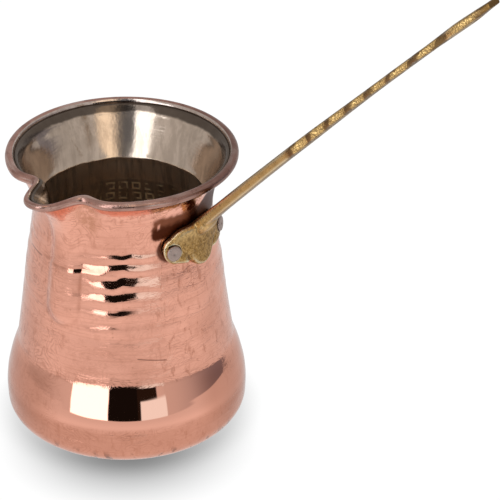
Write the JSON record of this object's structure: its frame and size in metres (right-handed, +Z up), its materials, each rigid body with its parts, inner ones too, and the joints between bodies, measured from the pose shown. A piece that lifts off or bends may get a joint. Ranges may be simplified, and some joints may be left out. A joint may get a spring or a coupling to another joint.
{
  "type": "coffee pot",
  "caption": "Small hammered copper coffee pot with a flared, spouted mouth, a tinned inside and a long riveted brass handle.",
  "frame": {"origin": "centre of the flat underside, on the pot's axis", "axes": "+Z up, +X along the handle, -Y towards the pouring spout"},
  "size_m": [0.1636, 0.0788, 0.1731],
  "materials": {
    "copper": "polished hammered copper, pinkish, with a mirror band round the belly",
    "tin": "wiped tin, warm grey, satin with streaks",
    "handle_brass": "cast brass, satin, darkened in its hollows",
    "rivet": "dull hammered metal"
  },
  "bodies": {
    "root": {"copper_body": "copper", "tin_lining": "tin", "brass_handle": "handle_brass", "rivet_spout_side": "rivet", "rivet_far_side": "rivet"}
  },
  "joints": []
}
